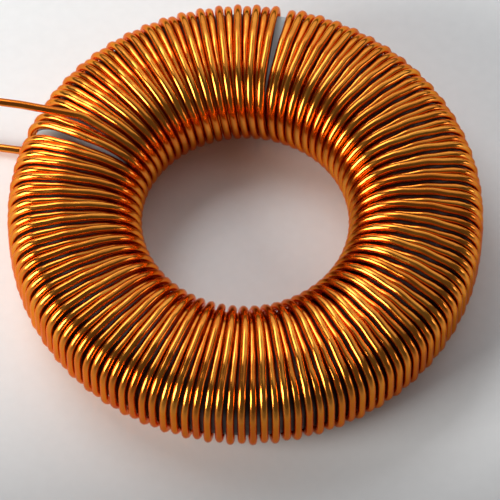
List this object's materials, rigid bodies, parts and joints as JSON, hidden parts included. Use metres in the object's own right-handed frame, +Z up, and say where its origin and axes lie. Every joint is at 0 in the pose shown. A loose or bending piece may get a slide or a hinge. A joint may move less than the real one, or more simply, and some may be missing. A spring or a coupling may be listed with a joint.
{
  "type": "toroidal inductor",
  "caption": "Ring core with rounded edges, wound all round with one enamelled copper wire whose two stiff ends leave side by side as leads.",
  "frame": {"origin": "on the ring's axis, in the plane that the winding rests on", "axes": "+Z up along the ring's axis, +X away from the leads, +Y to the back of the ring with the leads on the left"},
  "size_m": [0.065, 0.0484, 0.0123],
  "materials": {
    "core_coating": "satin",
    "enamelled_copper": "gloss"
  },
  "bodies": {
    "root": {"core": "core_coating", "winding": "enamelled_copper"}
  },
  "joints": []
}
